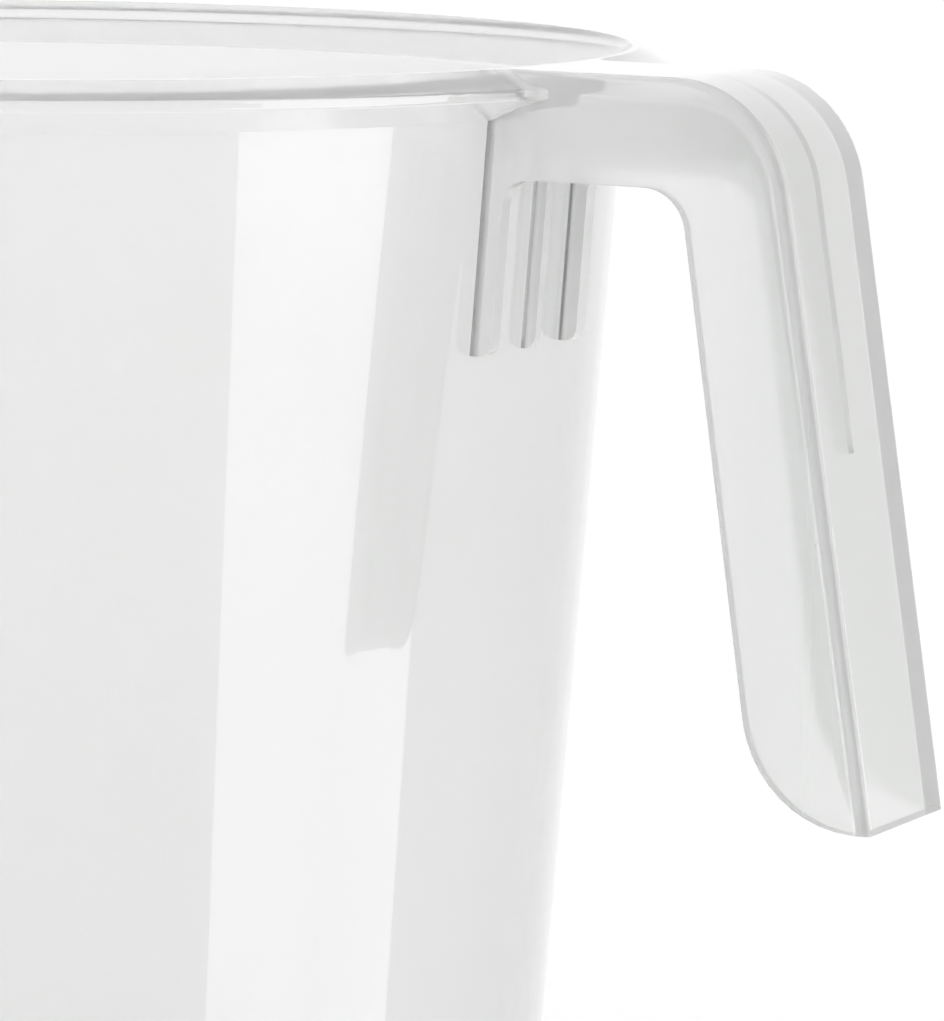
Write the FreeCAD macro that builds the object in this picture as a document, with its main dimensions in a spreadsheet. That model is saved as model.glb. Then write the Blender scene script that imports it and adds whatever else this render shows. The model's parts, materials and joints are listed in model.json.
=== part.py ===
"""Two-litre measuring jug, moulded in one piece from natural polypropylene.

The vessel is a tapered cup with a flared collar, a pouring spout at -X and an open-ended
channel handle at +X. Millimetres, +Z up, origin at the centre of the base's underside.
"""
import FreeCAD, Part
import os

import Sketcher

from FreeCAD import Vector

# Driving dimensions, all in millimetres.
SIZES = {
    # vessel
    "height": 165.0,
    "rim_radius": 75.0,
    "base_radius": 62.3,
    "wall": 1.8,
    "floor_thickness": 2.4,
    "foot_width": 5.0,
    "groove_width": 4.0,
    "groove_depth": 0.8,
    "base_round": 3.0,
    "floor_round": 5.0,
    # collar round the mouth
    "collar_depth": 5.6,
    "crease_step": 1.6,
    "lip_flare": 3.7,
    "lip_drop": 2.0,
    "lip_edge": 1.0,
    "lip_round": 0.45,
    "rim_land": 1.0,
    "shoulder_round": 4.0,
    "shoulder_inset": 0.3,
    # handle, seen from the side
    "arm_depth": 11.7,
    "bend_out": 31.0,
    "tip_out": 44.3,
    "handle_drop": 78.1,
    "grip_depth_high": 12.3,
    "grip_depth_low": 13.2,
    "bend_radius": 13.4,
    "inner_bend_radius": 5.0,
    "tip_round": 13.0,
    "root_round": 3.2,
    # handle, seen from above
    "root_width": 20.6,
    "tip_width": 18.2,
    "web_thickness": 2.3,
    "side_thickness": 1.9,
    "edge_round": 0.8,
    "channel_round": 1.2,
    # middle rib of the handle and the three fins below it
    "mid_rib_thickness": 1.3,
    "mid_rib_setback": 2.5,
    "mid_rib_drop": 39.5,
    "mid_rib_high": 3.4,
    "mid_rib_low": 1.6,
    "mid_rib_round": 1.2,
    "fin_proud": 1.7,
    "fin_drop": 31.0,
    "fin_round": 1.5,
    # pouring spout
    "spout_out": 14.0,
    "spout_mouth_radius": 38.0,
    "spout_root_radius": 10.0,
    "spout_root_step": 3.3,
    "spout_depth": 50.0,
    "spout_blend": 12.0,
    "spout_lip_blend": 8.0,
    # raised measuring scale
    "mark_volume": 250000.0,
    "long_mark": 22.0,
    "short_mark": 12.0,
    "mark_width": 1.0,
    "mark_proud": 0.35,
}
MARKS = 8            # one for each quarter litre; every second one is long
BEYOND = 10.0        # how far a cutting tool reaches past the solid it cuts

doc = FreeCAD.newDocument("measuring_jug")
sheet = doc.addObject("Spreadsheet::Sheet", "Sizes")
for row, (alias, value) in enumerate(SIZES.items(), start=1):
    sheet.set(f"A{row}", alias)
    sheet.set(f"B{row}", str(value))
    sheet.setAlias(f"B{row}", alias)
doc.recompute()


def size(expression):
    """The present value of an expression in the sheet's names."""
    return float(sheet.evalExpression(named(expression)))


def named(expression):
    """Write each of the sheet's names in an expression as Sizes.name."""
    words = expression.replace("(", " ( ").replace(")", " ) ").split()
    return " ".join(f"Sizes.{word}" if word in SIZES else word for word in words)


CREASE = "( rim_radius - crease_step )"
LIP = "( rim_radius + lip_flare )"
BEND = "( rim_radius + bend_out )"
TIP = "( rim_radius + tip_out )"
TAPER = f"( {CREASE} - base_radius ) / ( height - collar_depth )"
PAST_TIP = f"( {TIP} + {BEYOND} )"
PAST_RIM = f"( height + {BEYOND} )"


def wall_at(depth):
    """The vessel's outer radius at a depth below the rim: it falls evenly from crease to base."""
    return f"( {CREASE} - {TAPER} * ( {depth} - collar_depth ) )"


def handle_back(depth):
    """How far out the handle's back is at a depth below the rim: it leans out evenly."""
    return f"( {BEND} + ( tip_out - bend_out ) * ( {depth} ) / handle_drop )"


def below_rim(depth):
    return f"height - ( {depth} )"


def plane_of(body, role):
    return next(item for item in body.Origin.OriginFeatures if item.Role == role)


def polygon(body, name, plane, corners):
    """A closed sketch of straight lines, each corner held by two expressions of the sheet."""
    sketch = body.newObject("Sketcher::SketchObject", name)
    sketch.AttachmentSupport = (plane_of(body, plane), [""])
    sketch.MapMode = "FlatFace"
    points = [Vector(size(across), size(up), 0) for across, up in corners]
    count = len(points)
    for index in range(count):
        sketch.addGeometry(Part.LineSegment(points[index], points[(index + 1) % count]), False)
    for index in range(count):
        sketch.addConstraint(Sketcher.Constraint("Coincident", index, 2, (index + 1) % count, 1))
    for index, (across, up) in enumerate(corners):
        for kind, text in (("DistanceX", across), ("DistanceY", up)):
            number = sketch.addConstraint(Sketcher.Constraint(kind, -1, 1, index, 1, size(text)))
            sketch.setExpression(f"Constraints[{number}]", named(text))
    doc.recompute()
    return sketch


def turned(body_name, corners):
    """A body made by turning an outline in the XZ plane about the Z axis."""
    body = doc.addObject("PartDesign::Body", body_name)
    sketch = polygon(body, body_name + "_outline", "XZ_Plane", corners)
    feature = body.newObject("PartDesign::Revolution", body_name + "_turned")
    feature.Profile = sketch
    feature.ReferenceAxis = (sketch, ["V_Axis"])
    feature.Angle = 360
    sketch.Visibility = False
    doc.recompute()
    return body


def slab(body_name, plane, corners, thickness, midplane=True):
    """A body made by thickening an outline, evenly to both sides of its plane."""
    body = doc.addObject("PartDesign::Body", body_name)
    sketch = polygon(body, body_name + "_outline", plane, corners)
    feature = body.newObject("PartDesign::Pad", body_name + "_pad")
    feature.Profile = sketch
    feature.setExpression("Length", named(thickness))
    feature.Midplane = midplane
    doc.recompute()
    return body


def edge_names(shape, test):
    return [f"Edge{number}" for number, edge in enumerate(shape.Edges, start=1) if test(edge)]


def round_off(body, name, radius, test):
    """A PartDesign fillet on those edges of the body that pass the test."""
    base = body.Tip
    feature = body.newObject("PartDesign::Fillet", name)
    feature.Base = (base, edge_names(base.Shape, test))
    feature.setExpression("Radius", named(radius))
    doc.recompute()


def near(a, b):
    return abs(a - b) < 0.01


def across_at(x, z):
    """A test for the edge that runs along Y through a point of the XZ plane."""
    spot_x, spot_z = size(x), size(z)

    def test(edge):
        ends = [vertex.Point for vertex in edge.Vertexes]
        return len(ends) == 2 and all(near(p.x, spot_x) and near(p.z, spot_z) for p in ends)

    return test


def ring_at(radius, z):
    """A test for the circle of a radius at a height."""
    spot_radius, spot_z = size(radius), size(z)

    def test(edge):
        is_circle = isinstance(edge.Curve, Part.Circle)
        return is_circle and near(edge.Curve.Radius, spot_radius) and near(edge.Curve.Center.z, spot_z)

    return test


def on_corner(side):
    """A test for the inner corners of the collar's outline, upright lines at -X or at +X."""
    def test(edge):
        low, high = edge.valueAt(edge.FirstParameter), edge.valueAt(edge.LastParameter)
        upright = near(low.x, high.x) and near(low.y, high.y) and not near(low.z, high.z)
        return upright and low.x * side > 0 and 1 < abs(low.y) and abs(low.x) < size(LIP) - 0.01

    return test


def curved_at(z):
    """A test for the curved edges that lie in the level plane at a height."""
    spot_z = size(z)

    def test(edge):
        first, last = edge.FirstParameter, edge.LastParameter
        points = [edge.valueAt(first + (last - first) * part) for part in (0, 0.3, 0.7, 1)]
        return not isinstance(edge.Curve, Part.Line) and all(near(p.z, spot_z) for p in points)

    return test


def boolean(kind, name, base, tool):
    result = doc.addObject(f"Part::{kind}", name)
    result.Base = base
    result.Tool = tool
    doc.recompute()
    return result


def union(name, shapes):
    result = doc.addObject("Part::MultiFuse", name)
    result.Shapes = shapes
    doc.recompute()
    return result


def blended(name, base, radius, test):
    """A Part fillet of one radius on those edges of an object that pass the test."""
    result = doc.addObject("Part::Fillet", name)
    result.Base = base
    value = size(radius)
    numbers = [int(text[4:]) for text in edge_names(base.Shape, test)]
    result.Edges = [(number, value, value) for number in numbers]
    doc.recompute()
    return result


def bevelled(name, base, down, across, test):
    """A Part chamfer on an outline: one width down the upright face, another across the level one."""
    result = doc.addObject("Part::Chamfer", name)
    result.Base = base
    numbers = [int(text[4:]) for text in edge_names(base.Shape, test)]
    result.Edges = [(number, size(down), size(across)) for number in numbers]
    doc.recompute()
    return result


# ---------------------------------------------------------------- vessel
FLOOR = "groove_depth + floor_thickness"
SPOUT_CENTRE = "-1 * ( rim_radius + spout_out - spout_mouth_radius )"
FLOOR_RADIUS = wall_at(f"( height - ( {FLOOR} ) )") + " - wall"


def make_vessel():
    """The tapered vessel as if it were full, with the groove that marks off its foot ring."""
    foot_inside = "base_radius - base_round - foot_width"
    body = turned("vessel", [
        ("0", "0"),
        (f"{foot_inside} - groove_width", "0"),
        (f"{foot_inside} - groove_width", "groove_depth"),
        (foot_inside, "groove_depth"),
        (foot_inside, "0"),
        ("base_radius", "0"),
        (wall_at("0"), "height"),
        ("0", "height"),
    ])
    round_off(body, "base_corner", "base_round", ring_at("base_radius", "0"))
    return body


def disc(name, radius, centre):
    """A level disc as thick as the collar is deep, with its top at the rim."""
    plate = doc.addObject("Part::Cylinder", name)
    plate.setExpression("Radius", named(radius))
    plate.setExpression("Height", named("collar_depth"))
    plate.setExpression("Placement.Base.x", named(centre))
    plate.setExpression("Placement.Base.z", named(below_rim("collar_depth")))
    doc.recompute()
    return plate


def make_collar():
    """The flared collar as a full plate: out from the crease under the lip, up its bevel to the rim.

    Its outline goes round the mouth, the spout and the shoulders of the handle in one smooth line.
    """
    shoulder = plan_wedge("shoulder", "shoulder_inset", f"{LIP} + shoulder_round", "collar_depth")
    shoulder.setExpression("Placement.Base.z", named(below_rim("collar_depth")))
    plate = union("collar_plate", [
        disc("mouth_disc", LIP, "0"),
        disc("spout_disc", "spout_mouth_radius + lip_flare", SPOUT_CENTRE),
        shoulder,
    ])
    plate = blended("spout_corners", plate, "spout_lip_blend", on_corner(-1))
    plate = blended("shoulder_corners", plate, "shoulder_round", on_corner(1))
    top, bottom = below_rim("0"), below_rim("collar_depth")
    plate = bevelled("rim_bevel", plate, "lip_drop", "lip_flare", curved_at(top))
    plate = bevelled("under_lip", plate, "collar_depth - lip_drop - lip_edge",
                     "lip_flare + crease_step", curved_at(bottom))
    plate = blended("lip_top", plate, "lip_round", curved_at(below_rim("lip_drop")))
    return blended("lip_low", plate, "lip_round", curved_at(below_rim("lip_drop + lip_edge")))


def make_cavity():
    """What the vessel holds, up to past the rim; it flares with the collar."""
    body = turned("cavity", [
        ("0", FLOOR),
        (FLOOR_RADIUS, FLOOR),
        (f"{CREASE} - wall", below_rim("collar_depth")),
        ("rim_radius - rim_land", "height"),
        ("rim_radius - rim_land", PAST_RIM),
        ("0", PAST_RIM),
    ])
    round_off(body, "floor_corner", "floor_round", ring_at(FLOOR_RADIUS, FLOOR))
    return body


# ---------------------------------------------------------------- handle
def plan_wedge(name, inset, reach, thickness):
    """A slab with the handle's outline from above, out to a reach: it narrows evenly from root to tip."""
    slope = "( root_width - tip_width ) / ( tip_out + crease_step ) / 2"
    half_root = f"root_width / 2 - {inset}"
    half_in = f"( {half_root} + {slope} * {CREASE} )"
    half_out = f"( {half_root} - {slope} * ( {reach} - {CREASE} ) )"
    return slab(name, "XY_Plane", [
        ("0", f"-1 * {half_in}"),
        (reach, f"-1 * {half_out}"),
        (reach, half_out),
        ("0", half_in),
    ], thickness, midplane=False)


def make_handle():
    root = wall_at("fin_drop") + f" - {BEYOND}"
    bend_inside = handle_back("arm_depth") + " - grip_depth_high"
    tip_inside = f"{TIP} - grip_depth_low"
    fin_high = wall_at("arm_depth") + " + fin_proud"
    fin_low = wall_at("fin_drop") + " + fin_proud"

    side_view = slab("side_view", "XZ_Plane", [
        (root, "height"),
        (BEND, "height"),
        (TIP, below_rim("handle_drop")),
        (tip_inside, below_rim("handle_drop")),
        (bend_inside, below_rim("arm_depth")),
        (fin_high, below_rim("arm_depth")),
        (fin_low, below_rim("fin_drop")),
        (root, below_rim("fin_drop")),
    ], "2 * root_width")
    round_off(side_view, "bend", "bend_radius", across_at(BEND, "height"))
    round_off(side_view, "tip", "tip_round", across_at(tip_inside, below_rim("handle_drop")))
    round_off(side_view, "inner_bend", "inner_bend_radius", across_at(bend_inside, below_rim("arm_depth")))
    round_off(side_view, "root_corner", "root_round", across_at(fin_high, below_rim("arm_depth")))
    round_off(side_view, "fin_end", "fin_round", across_at(fin_low, below_rim("fin_drop")))

    block = boolean("Common", "handle_block", side_view, plan_wedge("plan_view", "0", PAST_TIP, PAST_RIM))
    rounded = blended("handle_rounded", block, "edge_round", along_back("0"))

    channel_back_high = handle_back("web_thickness") + " - web_thickness"
    channel_back_low = handle_back(f"( handle_drop + {BEYOND} )") + " - web_thickness"
    channel_side = slab("channel_side_view", "XZ_Plane", [
        ("0", below_rim("web_thickness")),
        (channel_back_high, below_rim("web_thickness")),
        (channel_back_low, below_rim(f"handle_drop + {BEYOND}")),
        ("0", below_rim(f"handle_drop + {BEYOND}")),
    ], "2 * root_width")
    round_off(channel_side, "channel_bend", "bend_radius - web_thickness",
              across_at(channel_back_high, below_rim("web_thickness")))
    channel = boolean("Common", "channel", channel_side,
                      plan_wedge("channel_plan", "side_thickness", PAST_TIP, PAST_RIM))
    channel = blended("channel_rounded", channel, "channel_round", along_back("web_thickness"))

    rib_level = "arm_depth - mid_rib_setback"
    rib_high = handle_back(rib_level) + " - web_thickness - mid_rib_high"
    rib_low = handle_back("mid_rib_drop") + " - web_thickness - mid_rib_low"
    rib = slab("mid_rib", "XZ_Plane", [
        ("0", PAST_RIM),
        (PAST_TIP, PAST_RIM),
        (PAST_TIP, below_rim("mid_rib_drop")),
        (rib_low, below_rim("mid_rib_drop")),
        (rib_high, below_rim(rib_level)),
        (wall_at(rib_level) + " + fin_proud", below_rim(rib_level)),
        (fin_low, below_rim("fin_drop")),
        ("0", below_rim("fin_drop")),
    ], "mid_rib_thickness")
    round_off(rib, "mid_root", "root_round",
              across_at(wall_at(rib_level) + " + fin_proud", below_rim(rib_level)))
    round_off(rib, "mid_fin_end", "fin_round", across_at(fin_low, below_rim("fin_drop")))
    round_off(rib, "mid_bend", "inner_bend_radius", across_at(rib_high, below_rim(rib_level)))
    round_off(rib, "mid_end", "mid_rib_round", across_at(rib_low, below_rim("mid_rib_drop")))

    hollow = boolean("Cut", "channel_beside_rib", channel, rib)
    return boolean("Cut", "handle", rounded, hollow)


def along_back(inset):
    """A test for the long edges along the top, round the bend and down the back, on each flank."""
    step = size(inset)
    top = size("height") - step
    back = size(BEND) - step
    lean = (size(TIP) - size(BEND)) / size("handle_drop")
    bend = size("bend_radius")

    def test(edge):
        middle = edge.valueAt((edge.FirstParameter + edge.LastParameter) / 2)
        ends = [vertex.Point for vertex in edge.Vertexes]
        if len(ends) != 2 or abs(ends[0].y - ends[1].y) > 0.25 * size("tip_width"):
            return False
        down_back = near(middle.x, back + lean * (size("height") - middle.z))
        along_top = near(middle.z, top)
        round_bend = middle.x > back - bend and middle.z > top - 0.5 * bend
        return down_back or along_top or round_bend

    return test


# ---------------------------------------------------------------- spout
SPOUT_ROOT = f"-1 * ( {wall_at('spout_depth')} - spout_root_step - spout_root_radius )"


def circle(name, x, z, radius):
    ring = doc.addObject("Part::Circle", name)
    ring.setExpression("Radius", named(radius))
    ring.setExpression("Placement.Base.x", named(x))
    ring.setExpression("Placement.Base.z", named(z))
    ring.Visibility = False
    return ring


def make_spout(name, inset_low, inset_high):
    """A leaning cone, from a wide circle at the rim to a small one inside the wall below."""
    loft = doc.addObject("Part::Loft", name)
    loft.Sections = [
        circle(name + "_root", SPOUT_ROOT, below_rim("spout_depth"), f"spout_root_radius - {inset_low}"),
        circle(name + "_mouth", SPOUT_CENTRE, "height", f"spout_mouth_radius - {inset_high}"),
    ]
    loft.Solid = True
    loft.Ruled = True
    doc.recompute()
    return loft


def on_spout_seam(edge):
    """The line along which the spout's cone leaves the vessel's wall."""
    box = edge.BoundBox
    centre_x = size(SPOUT_CENTRE)
    is_upright = box.ZLength > 5 and box.XMax < centre_x + 5
    return is_upright and not isinstance(edge.Curve, (Part.Line, Part.Circle))


# ---------------------------------------------------------------- raised scale
def mark_height(number):
    """The level of a whole number of measures in the tapered cavity, above the base.

    A cone's volume up to a level is pi (r^3 - r0^3) / (3 k), with r its radius there, r0 at the
    floor and k its growth for each millimetre, which is solved for the level.
    """
    floor_radius = f"( {FLOOR_RADIUS} )"
    cubed = f"3 * {TAPER} * {number} * mark_volume / pi + {floor_radius} ^ 3"
    return f"{FLOOR} + ( ( {cubed} ) ^ ( 1 / 3 ) - {floor_radius} ) / ( {TAPER} )"


def make_scale():
    """Raised marks on the -Y side, each a bar trimmed to a thin skin over the wall."""
    skin = turned("scale_skin", [
        ("0", "0"),
        ("base_radius + mark_proud", "0"),
        (f"{wall_at('collar_depth')} + mark_proud", below_rim("collar_depth")),
        ("0", below_rim("collar_depth")),
    ])
    bars = []
    for number in range(1, MARKS + 1):
        length = "short_mark" if number % 2 else "long_mark"
        bar = doc.addObject("Part::Box", f"mark_{number}")
        bar.setExpression("Length", named(length))
        bar.setExpression("Width", named(f"rim_radius - base_radius + {BEYOND}"))
        bar.setExpression("Height", named("mark_width"))
        bar.setExpression("Placement.Base.x", named("-1 * long_mark / 2"))
        bar.setExpression("Placement.Base.y", named(f"-1 * ( rim_radius + {BEYOND} / 2 )"))
        bar.setExpression("Placement.Base.z", named(f"{mark_height(number)} - mark_width / 2"))
        bars.append(bar)
    return boolean("Common", "scale", union("scale_bars", bars), skin)


# ---------------------------------------------------------------- assembly of the one moulding
wall_form = blended("wall_form", union("wall_and_spout", [make_vessel(), make_spout("spout", "0", "0")]),
                    "spout_blend", on_spout_seam)
collar_form = make_collar()
full = union("full_form", [wall_form, collar_form, make_handle(), make_scale()])
spout_hollow = make_spout("spout_hollow", "wall", "rim_land")
inside = blended("inside_form", union("cavity_and_spout", [make_cavity(), spout_hollow]),
                 "spout_blend - wall", on_spout_seam)
jug = boolean("Cut", "jug", full, inside)
jug.Label = "jug"


def check_and_write(parts):
    """Refuse a document with a failed object or a bad solid, and write one file for each part."""
    for item in doc.Objects:
        if "Invalid" in item.State or "Error" in item.State:
            raise RuntimeError(f"{item.Name} failed: {item.State}")
    os.makedirs("parts", exist_ok=True)
    for part in parts:
        shape = part.Shape
        if shape.isNull() or not shape.isValid():
            raise RuntimeError(f"{part.Label} has no valid shape")
        print(part.Label, "solids", len(shape.Solids), "faces", len(shape.Faces),
              "volume cm3", round(shape.Volume / 1000, 2), "box", shape.BoundBox)
        shape.exportStep(f"parts/{part.Label}.step")


check_and_write([jug])
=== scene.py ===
# %% [markdown]
# # A measuring jug in natural polypropylene
# The real jug is one shot of plastic from one mould: a tapered vessel, a flared collar, a pouring
# spout and a hollow handle with a rib and three fins. The frame already holds that solid at its
# real size, so nothing is shaped twice here. The solid keeps its mesh and gets its finish, and the
# one thing added is the row of raised numbers beside the scale.
# We load the frame first and keep its box, because the finished model must not grow out of it.

# %% Load the frame
import json
import math

import bmesh
import bpy
import numpy as np
from mathutils import Matrix, Vector

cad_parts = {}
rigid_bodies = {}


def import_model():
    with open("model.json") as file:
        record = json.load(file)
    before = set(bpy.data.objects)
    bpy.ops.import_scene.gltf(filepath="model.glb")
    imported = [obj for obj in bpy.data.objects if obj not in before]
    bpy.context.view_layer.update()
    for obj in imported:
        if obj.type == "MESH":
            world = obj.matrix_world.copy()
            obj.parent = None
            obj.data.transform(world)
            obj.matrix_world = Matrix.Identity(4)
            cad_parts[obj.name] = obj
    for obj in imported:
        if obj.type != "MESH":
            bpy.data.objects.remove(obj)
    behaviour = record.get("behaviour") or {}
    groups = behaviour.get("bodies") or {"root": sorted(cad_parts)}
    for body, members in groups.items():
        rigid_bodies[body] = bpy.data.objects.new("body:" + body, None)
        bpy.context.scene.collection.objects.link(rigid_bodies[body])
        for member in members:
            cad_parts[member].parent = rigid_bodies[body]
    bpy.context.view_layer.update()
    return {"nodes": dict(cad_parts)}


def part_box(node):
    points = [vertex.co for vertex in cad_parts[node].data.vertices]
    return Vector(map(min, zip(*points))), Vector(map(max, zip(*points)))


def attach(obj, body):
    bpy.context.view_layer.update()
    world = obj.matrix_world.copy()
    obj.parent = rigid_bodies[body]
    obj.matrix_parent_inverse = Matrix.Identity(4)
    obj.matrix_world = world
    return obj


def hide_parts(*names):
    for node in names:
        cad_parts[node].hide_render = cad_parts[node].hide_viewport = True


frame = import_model()
MM = 0.001
LOWEST, HIGHEST = (np.array(corner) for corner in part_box("jug"))
HEIGHT = float(HIGHEST[2])
print("jug box in mm:", np.round(LOWEST / MM, 1), "to", np.round(HIGHEST / MM, 1))

# %% [markdown]
# ## Two helpers
# Colours are written as the sRGB hex values that a paint chart gives, but a shader works in linear
# light, so one function turns one into the other. A second one adds a node with its settings and
# its links in a single call, which keeps each material as short as its recipe.


# %% Helpers for colours and nodes
def linear(hex_colour):
    """Turn an sRGB hex colour into linear RGBA: divide by 12.92 when dark, else raise to 2.4."""
    parts = np.array([int(hex_colour[start:start + 2], 16) / 255 for start in (1, 3, 5)])
    light = np.where(parts < 0.04045, parts / 12.92, ((parts + 0.055) / 1.055) ** 2.4)
    return [*light.tolist(), 1.0]


def add_node(tree, kind, inputs=(), **settings):
    """Add a node, give it its settings, then set or link its inputs by name or number."""
    node = tree.nodes.new(kind)
    for name, value in settings.items():
        setattr(node, name, value)
    for name, value in dict(inputs).items():
        if isinstance(value, bpy.types.NodeSocket):
            tree.links.new(value, node.inputs[name])
        else:
            node.inputs[name].default_value = value
    return node


def new_material(name):
    """Make an empty node material and give back it and its tree."""
    material = bpy.data.materials.new(name)
    material.use_nodes = True
    material.node_tree.nodes.clear()
    return material, material.node_tree


print("white is", linear("#ffffff"))

# %% [markdown]
# ## The wall as a cone
# The vessel tapers so that it slides off its mould. Its outside is a plain cone, and three later
# steps need that cone: the finish, the wall's normals and the raised numbers. So its sizes are
# named once, in metres.

# %% The wall as a cone
BASE_RADIUS = 62.3 * MM       # outside of the wall at the base
CREASE_RADIUS = 73.4 * MM     # and in the crease under the collar
COLLAR_DEPTH = 5.6 * MM
WALL = 1.8 * MM               # thickness, measured straight out from the axis
FLOOR_TOP = 3.2 * MM          # inside of the base
TAPER = (CREASE_RADIUS - BASE_RADIUS) / (HEIGHT - COLLAR_DEPTH)
FLOOR_RADIUS = BASE_RADIUS + TAPER * FLOOR_TOP - WALL
print("the wall leans", round(math.degrees(math.atan(TAPER)), 2), "degrees")

# %% [markdown]
# ## Natural polypropylene
# Polypropylene without pigment is a milky, greyish clear plastic. Its crystals scatter a share of
# the light, so a wall looks like thin frosted glass, and where the plastic is thick or is seen
# edge-on the scattering adds up and it turns a soft grey. The outside copies a polished mould, so
# a sharp gloss lies over that milky inside.
# It could be a scattering volume, which is slow and noisy. Here the scattering is shared out
# instead: a rough transmission for the light that gets through, a white diffuse part for the light
# that is sent back, a faint absorption for the long ways through the edges, and a smooth coat for
# the gloss. Real polypropylene bends light by 1.49, and the value here is matched to the object's
# soft edges, which puts it a little lower.
# Three quiet patterns keep the surface from being dead flat: clouds some 35 mm across, as if the
# melt had cooled at different speeds, streaks that run up the wall as its flow would leave them,
# and an orange-peel at about 2.5 mm, a few hundredths of a millimetre deep.
# One plain plastic all over left the leg of the handle too light, and the fins and the arm's root
# too dark. So the leg's colour is painted a shade greyer here, a painted shade, and the fins and
# the root let less light through and send more of it back. Both values are matched to the object's
# greys. Slow cooling in thick places, which grows larger crystals, may explain the fins and the root,
# but that is a guess.

# %% Natural polypropylene
CLOUD = 35 * MM          # size of the cooling clouds
STREAK = 6 * MM          # width of a flow streak, which is drawn out upwards
STREAK_STRETCH = 0.12    # how much slower a streak changes upwards than sideways
PEEL = 2.5 * MM          # spacing of the mould's orange-peel
PEEL_DEPTH = 0.03 * MM
# Painted shade: between these two distances from the axis the handle's colour turns greyer, which is
# painted shade and not a milkier plastic.
LEG_SHADE_STARTS, LEG_SHADE_FULL = 94 * MM, 106 * MM     # how far out the handle turns milkier
HALF_ROOT = 10.5 * MM                        # half the width of the arm where it meets the wall
WALL_CLEARNESS, ROOT_CLEARNESS = 0.82, 0.5   # share of the light that gets through the surface
IN_LEG = 0.3                                 # how much of the root's milkiness is left in the leg


def fade(tree, value, start, end, low=0.0, high=1.0):
    """A value carried evenly from low at start to high at end, and held beyond them."""
    return add_node(tree, "ShaderNodeMapRange", {
        "Value": value, "From Min": start, "From Max": end, "To Min": low, "To Max": high}).outputs[0]


def handle_root(tree, place):
    """Milkiness of the handle: 0 in the wall, 1 in the fins and the arm's root, less in the leg.

    A point counts when it is out of the cone, on the handle's side and within the arm's width, so
    the result is the product of one fade for each of these.
    """
    flat = add_node(tree, "ShaderNodeVectorMath", {0: place, 1: (1.0, 1.0, 0.0)}, operation="MULTIPLY")
    length = add_node(tree, "ShaderNodeVectorMath", {0: flat.outputs[0]}, operation="LENGTH")
    radius = length.outputs["Value"]
    axes = add_node(tree, "ShaderNodeSeparateXYZ", {"Vector": place}).outputs
    wall = add_node(tree, "ShaderNodeMath", {
        0: axes["Z"], 1: TAPER, 2: BASE_RADIUS}, operation="MULTIPLY_ADD")
    proud = add_node(tree, "ShaderNodeMath", {0: radius, 1: wall.outputs[0]}, operation="SUBTRACT")
    sideways = add_node(tree, "ShaderNodeMath", {0: axes["Y"]}, operation="ABSOLUTE").outputs[0]
    limits = (
        fade(tree, proud.outputs[0], 0.1 * MM, 0.8 * MM),
        fade(tree, axes["X"], 50 * MM, 60 * MM),
        fade(tree, radius, 84 * MM, 112 * MM, 1.0, IN_LEG),
        fade(tree, sideways, HALF_ROOT, HALF_ROOT + 2 * MM, 1.0, 0.0),
    )
    inside = limits[0]
    for limit in limits[1:]:
        both = add_node(tree, "ShaderNodeMath", {0: inside, 1: limit}, operation="MULTIPLY")
        inside = both.outputs[0]
    return inside


def make_polypropylene():
    """Milky clear plastic with a polished skin: a frosted, see-through wall with crisp highlights."""
    material, tree = new_material("natural_polypropylene")
    place = add_node(tree, "ShaderNodeTexCoord").outputs["Object"]
    clouds = add_node(tree, "ShaderNodeTexNoise", {
        "Vector": place, "Scale": 1 / CLOUD, "Detail": 2.0, "Roughness": 0.5})
    drawn_out = add_node(tree, "ShaderNodeMapping", {
        "Vector": place, "Scale": (1.0, 1.0, STREAK_STRETCH)})
    streaks = add_node(tree, "ShaderNodeTexNoise", {
        "Vector": drawn_out.outputs[0], "Scale": 1 / STREAK, "Detail": 3.0, "Roughness": 0.6})
    peel = add_node(tree, "ShaderNodeTexNoise", {
        "Vector": place, "Scale": 1 / PEEL, "Detail": 1.0, "Roughness": 0.4})
    milk = add_node(tree, "ShaderNodeMix", {
        0: clouds.outputs[0], 6: linear("#fbfcfb"), 7: linear("#ffffff")}, data_type="RGBA")
    axes = add_node(tree, "ShaderNodeSeparateXYZ", {"Vector": place}).outputs
    # Painted shade: far out from the axis, on the handle's leg, the colour is mixed towards the grey
    # #f4f5f4.
    shade = add_node(tree, "ShaderNodeMix", {
        0: fade(tree, axes["X"], LEG_SHADE_STARTS, LEG_SHADE_FULL), 6: milk.outputs[2], 7: linear("#f4f5f4")},
        data_type="RGBA")
    clearness = fade(tree, handle_root(tree, place), 0.0, 1.0, WALL_CLEARNESS, ROOT_CLEARNESS)
    skin = add_node(tree, "ShaderNodeBump", {
        "Height": peel.outputs[0], "Strength": 0.5, "Distance": PEEL_DEPTH})
    plastic = add_node(tree, "ShaderNodeBsdfPrincipled", {
        "Base Color": shade.outputs[2],
        "Roughness": fade(tree, streaks.outputs[0], 0.3, 0.7, 0.18, 0.22),
        "IOR": 1.38,
        "Transmission Weight": clearness,
        "Coat Weight": 1.0,
        "Coat Roughness": 0.03,
        "Normal": skin.outputs[0],
    })
    depth = add_node(tree, "ShaderNodeVolumeAbsorption", {"Color": linear("#b9bcbb"), "Density": 6.0})
    add_node(tree, "ShaderNodeOutputMaterial", {
        "Surface": plastic.outputs[0], "Volume": depth.outputs[0]})
    return material


polypropylene = make_polypropylene()
print(polypropylene.name, "has", len(polypropylene.node_tree.nodes), "nodes")

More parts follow.
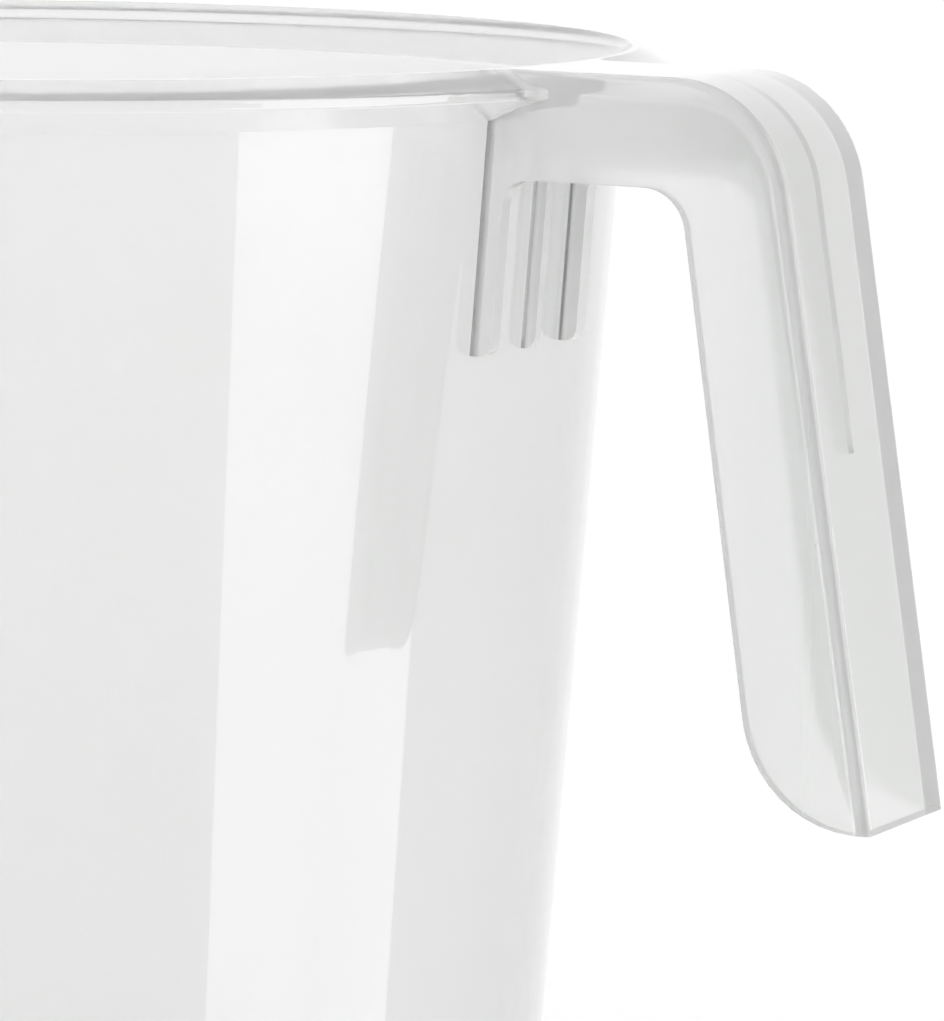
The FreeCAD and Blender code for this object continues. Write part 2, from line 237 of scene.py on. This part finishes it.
# %% [markdown]
# ## A smooth wall for the solid
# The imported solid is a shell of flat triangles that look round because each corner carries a
# normal. Where a wide triangle meets a narrow one, as under the fins and beside the scale's marks,
# the averaged normals lean by up to three degrees. Opaque plastic would hide that. Clear glossy
# plastic shows it as a dark upright line, which the real, turned and polished mould can't make.
# A denser mesh would cure it, but the true normal of a cone is known exactly. So the visible jug is
# a merged copy with every point where the solid has it, and only the corners that lie on the cone's
# outside or inside get the cone's own normal.

# %% The visible jug, with true cone normals
NEAR_CONE = 0.03 * MM                     # how far a corner may lie off a cone it belongs to
FACE_LEAN = math.cos(math.radians(8))     # a facet that lies along a cone leans less than this
WELD = 0.0005 * MM


def read(owner, name, width, kind=float):
    """Read one value of every item of a mesh's list into an array with so many columns."""
    values = np.empty(len(owner) * width, dtype=kind)
    owner.foreach_get(name, values)
    return values.reshape(-1, width) if width > 1 else values


def cone_normals(points, side):
    """Normal of a cone about Z: (x / r, y / r, -k) at length 1, reversed for the inside (side -1)."""
    radius = np.hypot(points[:, 0], points[:, 1])
    lean = np.column_stack([points[:, 0] / radius, points[:, 1] / radius, np.full(len(points), -TAPER)])
    return side * lean / math.hypot(1, TAPER)


def merged(loose):
    """A copy with its shared points merged, or a plain copy if merging would drop a thin face."""
    joined = loose.copy()
    shell = bmesh.new()
    shell.from_mesh(joined)
    bmesh.ops.remove_doubles(shell, verts=shell.verts, dist=WELD)
    shell.to_mesh(joined)
    shell.free()
    return joined if len(joined.loops) == len(loose.loops) else loose.copy()


def with_true_normals(source):
    """A merged copy of the solid's mesh with its own corner normals, and a cone's on the wall."""
    corner_normals = read(source.data.corner_normals, "vector", 3)
    mesh = merged(source.data)
    mesh.name = "measuring_jug"
    corners = read(mesh.loops, "vertex_index", 1, int)
    points = read(mesh.vertices, "co", 3)[corners]
    facets = np.repeat(read(mesh.polygons, "normal", 3), 3, axis=0)
    radius = np.hypot(points[:, 0], points[:, 1])
    changed = 0
    for side, base in ((1, BASE_RADIUS), (-1, BASE_RADIUS - WALL)):
        exact = cone_normals(points, side)
        off_cone = np.abs(radius - base - TAPER * points[:, 2])
        on_cone = (off_cone < NEAR_CONE) & ((facets * exact).sum(axis=1) > FACE_LEAN)
        corner_normals[on_cone] = exact[on_cone]
        changed += int(on_cone.sum())
    mesh.normals_split_custom_set(corner_normals.tolist())
    print(changed, "of", len(corner_normals), "corners have the cone's own normal")
    return mesh


solid = bpy.data.objects[getattr(frame["nodes"]["jug"], "name", frame["nodes"]["jug"])]
jug = bpy.data.objects.new("measuring_jug", with_true_normals(solid))
bpy.context.scene.collection.objects.link(jug)
jug.data.materials.clear()
jug.data.materials.append(polypropylene)
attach(jug, "root")
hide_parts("jug")
print(jug.name, "has", len(jug.data.vertices), "points and", len(jug.data.polygons), "faces")

# %% [markdown]
# ## Raised numbers
# The solid carries raised marks for each quarter litre, and every second one is long. A cook reads
# the long ones, so each gets its plain number, cut into the same mould and as low as the marks.
# The numbers could be flat decals, but the real ones are plastic standing on plastic, so they are
# type made into a mesh and bent on to the cone. The height of a level comes from the volume of a
# cone, the same way that the marks were placed.

# %% Where the levels are
LITRE = 0.001     # cubic metres
LABELS = ("0.5", "1", "1.5", "2")


def level_of(volume):
    """Height of a volume in the cone.

    V = pi (r^3 - r0^3) / (3 k) is solved for the radius r at the level, then z = floor + (r - r0) / k.
    """
    radius = np.cbrt(3 * TAPER * volume / math.pi + FLOOR_RADIUS ** 3)
    return FLOOR_TOP + (radius - FLOOR_RADIUS) / TAPER


levels = level_of(np.array([float(label) for label in LABELS]) * LITRE)
print("levels in mm:", np.round(levels / MM, 1))

# %% [markdown]
# Type in Blender is a curve. It is made a mesh while it still lies flat round its own origin, then
# every point is carried over at once: its width runs along the wall, its height up the wall, and
# its thickness straight out of it. The back of each figure is sunk into the wall, so no gap shows.

# %% Bend the numbers on to the wall
TYPE_SIZE = 8.0 * MM
LEFT_EDGE = 13.5 * MM     # the long marks end 11 mm from the middle
PROUD = 0.30 * MM
SUNK = 0.10 * MM
TYPE_WELD = 0.001 * MM


def flat_type(label):
    """Points of a label lying flat, in metres, its thickness as -1 to 1 in third place, and faces."""
    curve = bpy.data.curves.new("label", "FONT")
    curve.body = label
    curve.size = TYPE_SIZE
    curve.resolution_u = 6
    curve.extrude = MM
    carrier = bpy.data.objects.new("label", curve)
    bpy.context.scene.collection.objects.link(carrier)
    bpy.context.view_layer.update()
    mesh = bpy.data.meshes.new_from_object(carrier)
    bpy.data.objects.remove(carrier)
    bpy.data.curves.remove(curve)
    shell = bmesh.new()
    shell.from_mesh(mesh)
    bmesh.ops.remove_doubles(shell, verts=shell.verts, dist=TYPE_WELD)
    bmesh.ops.triangulate(shell, faces=shell.faces)
    bmesh.ops.recalc_face_normals(shell, faces=shell.faces)
    shell.to_mesh(mesh)
    shell.free()
    points = read(mesh.vertices, "co", 3)
    faces = read(mesh.loops, "vertex_index", 1, int).reshape(-1, 3)
    bpy.data.meshes.remove(mesh)
    points[:, 2] /= MM
    return points, faces


def on_the_wall(points, level):
    """Carry flat type to the cone: x = left edge + u, z = level + v, y = -sqrt(r(z)^2 - x^2).

    v is measured from the middle of the figures, and r(z) = base radius + k z + w, where w goes
    from sunk to proud as the thickness goes from -1 to 1.
    """
    across = LEFT_EDGE + points[:, 0] - points[:, 0].min()
    up = level + points[:, 1] - (points[:, 1].min() + points[:, 1].max()) / 2
    out = PROUD * (1 + points[:, 2]) / 2 - SUNK * (1 - points[:, 2]) / 2
    radius = BASE_RADIUS + TAPER * up + out
    return np.column_stack([across, -np.sqrt(radius ** 2 - across ** 2), up])


def make_scale_numbers():
    """Join the four labels into one piece that stands on the wall beside the long marks."""
    all_points, all_faces, count = [], [], 0
    for label, level in zip(LABELS, levels):
        points, faces = flat_type(label)
        all_points.append(on_the_wall(points, level))
        all_faces.append(faces + count)
        count += len(points)
    mesh = bpy.data.meshes.new("scale_numbers")
    mesh.from_pydata(np.concatenate(all_points), [], np.concatenate(all_faces).tolist())
    mesh.materials.append(polypropylene)
    piece = bpy.data.objects.new("scale_numbers", mesh)
    bpy.context.scene.collection.objects.link(piece)
    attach(piece, "root")
    return piece


numbers = make_scale_numbers()
print(numbers.name, "has", len(numbers.data.polygons), "faces")

# %% [markdown]
# ## Floor, room light and softbox
# Clear plastic is lit from all round against white, as a product sheet does it: the walls then
# show as soft greys and their edges as darker lines. The floor is a plain matt white that runs out
# to the horizon. It takes the jug's shadow, and a faint glow, which only direct, glossy and
# through-the-plastic looks can see, lifts it to full white without lighting the jug.
# The room's light is even, at the level at which a colour comes out as it is written. One tall
# softbox stands to the right. It could light the jug too, but in an even room its work is the long
# upright highlight that shows how round and how glossy the wall is.

# %% White floor
FLOOR_HALF = 6.0
FLOOR_GLOW = 0.1


def seen_directly(tree, *kinds):
    """1 for the kinds of look named, 0 for all other light: the largest of their Light Path outputs."""
    path = add_node(tree, "ShaderNodeLightPath")
    value = path.outputs[kinds[0]]
    for kind in kinds[1:]:
        larger = add_node(tree, "ShaderNodeMath", {
            0: value, 1: path.outputs[kind]}, operation="MAXIMUM")
        value = larger.outputs[0]
    return value


def make_white_floor():
    """Matt white paper: no gloss, an even white that only a shadow darkens."""
    material, tree = new_material("matt_white_floor")
    seen = seen_directly(tree, "Is Camera Ray", "Is Glossy Ray", "Is Transmission Ray")
    glow = add_node(tree, "ShaderNodeMath", {0: seen, 1: FLOOR_GLOW}, operation="MULTIPLY")
    paper = add_node(tree, "ShaderNodeBsdfPrincipled", {
        "Base Color": linear("#f0f0f0"), "Roughness": 0.9, "Specular IOR Level": 0.0,
        "Emission Color": linear("#ffffff"), "Emission Strength": glow.outputs[0]})
    add_node(tree, "ShaderNodeOutputMaterial", {"Surface": paper.outputs[0]})
    return material


corners = np.array([(-1, -1, 0), (1, -1, 0), (1, 1, 0), (-1, 1, 0)]) * FLOOR_HALF
floor_mesh = bpy.data.meshes.new("floor")
floor_mesh.from_pydata(corners, [], [(0, 1, 2, 3)])
floor_mesh.materials.append(make_white_floor())
floor = bpy.data.objects.new("floor", floor_mesh)
bpy.context.scene.collection.objects.link(floor)
floor.visible_glossy = False
print("floor is", 2 * FLOOR_HALF, "m square")

# %% Room light and softbox
CAMERA_AZIMUTH = math.radians(35.82)
ROOM_LIGHT = 1.06
SOFTBOX = {
    "azimuth": 63.5,      # degrees round from the camera's side, to its right
    "distance": 1.0,
    "width": 0.77,
    "bottom": -0.9,       # it reaches below the floor, so its reflection runs down the whole wall
    "top": 1.2,
    "radiance": 1.85,
}


def make_room_light():
    """An even white sky: full white to look at, the room's level for everything that it lights."""
    world = bpy.data.worlds.new("studio")
    world.use_nodes = True
    tree = world.node_tree
    tree.nodes.clear()
    lit = add_node(tree, "ShaderNodeBackground", {"Color": linear("#ffffff"), "Strength": ROOM_LIGHT})
    white = add_node(tree, "ShaderNodeBackground", {"Color": linear("#ffffff"), "Strength": 1.0})
    pick = add_node(tree, "ShaderNodeMixShader", {
        0: seen_directly(tree, "Is Camera Ray", "Is Transmission Ray"),
        1: lit.outputs[0], 2: white.outputs[0]})
    add_node(tree, "ShaderNodeOutputWorld", {"Surface": pick.outputs[0]})
    bpy.context.scene.world = world


def make_softbox(azimuth, distance, width, bottom, top, radiance):
    """An upright lamp facing the jug, turned round from the camera by an azimuth in degrees.

    An even square lamp of radiance L sends out L times pi times its area, which is its power.
    """
    turn = CAMERA_AZIMUTH + math.radians(azimuth)
    outwards = Vector((math.sin(turn), -math.cos(turn), 0))
    height = top - bottom
    light = bpy.data.lights.new("softbox", "AREA")
    light.shape = "RECTANGLE"
    light.size, light.size_y = width, height
    light.energy = radiance * math.pi * width * height
    lamp = bpy.data.objects.new("softbox", light)
    place = outwards * distance + Vector((0, 0, bottom + height / 2))
    facing = outwards.to_track_quat("Z", "Y").to_matrix().to_4x4()
    lamp.matrix_world = Matrix.Translation(place) @ facing
    lamp.visible_diffuse = False
    bpy.context.scene.collection.objects.link(lamp)
    return lamp


make_room_light()
softbox = make_softbox(**SOFTBOX)
print("softbox of", round(softbox.data.energy, 2), "W at",
      np.round(softbox.matrix_world.translation, 2))

# %% [markdown]
# ## Camera
# The camera looks at the handle from a little above the rim, from between the handle and the front
# of the jug, through a long lens from close by. It is placed in the jug's own frame: a distance
# from the axis and a height over the rim, then turned round the axis to its side. Its direction is
# built from three plain angles, so that each can be read and changed without the others.

# %% Camera
CAMERA_DISTANCE = 600 * MM
CAMERA_ABOVE_RIM = 36.5 * MM
TURN_RIGHT, TURN_DOWN, ROLL = (math.radians(angle) for angle in (5.392, 8.671, 0.869))
LENS, SENSOR = 182.6, 36.0


def camera_matrix():
    """Turn right, then down, then roll, stand at the distance, and turn the whole round the axis."""
    right = Vector((math.cos(TURN_RIGHT), -math.sin(TURN_RIGHT), 0))
    level = Vector((math.sin(TURN_RIGHT), math.cos(TURN_RIGHT), 0))
    upright = Vector((0, 0, 1))
    ahead = level * math.cos(TURN_DOWN) - upright * math.sin(TURN_DOWN)
    up = level * math.sin(TURN_DOWN) + upright * math.cos(TURN_DOWN)
    rolled_right = right * math.cos(ROLL) + up * math.sin(ROLL)
    rolled_up = up * math.cos(ROLL) - right * math.sin(ROLL)
    pose = Matrix((rolled_right, rolled_up, -ahead)).transposed().to_4x4()
    pose.translation = Vector((0, -CAMERA_DISTANCE, HEIGHT + CAMERA_ABOVE_RIM))
    return Matrix.Rotation(CAMERA_AZIMUTH, 4, "Z") @ pose


camera_data = bpy.data.cameras.new("camera")
camera_data.lens, camera_data.sensor_width = LENS, SENSOR
camera = bpy.data.objects.new("camera", camera_data)
bpy.context.scene.collection.objects.link(camera)
camera.matrix_world = camera_matrix()
bpy.context.scene.camera = camera
bpy.context.scene.view_settings.view_transform = "Standard"
print("camera at", np.round(camera.matrix_world.translation, 3))
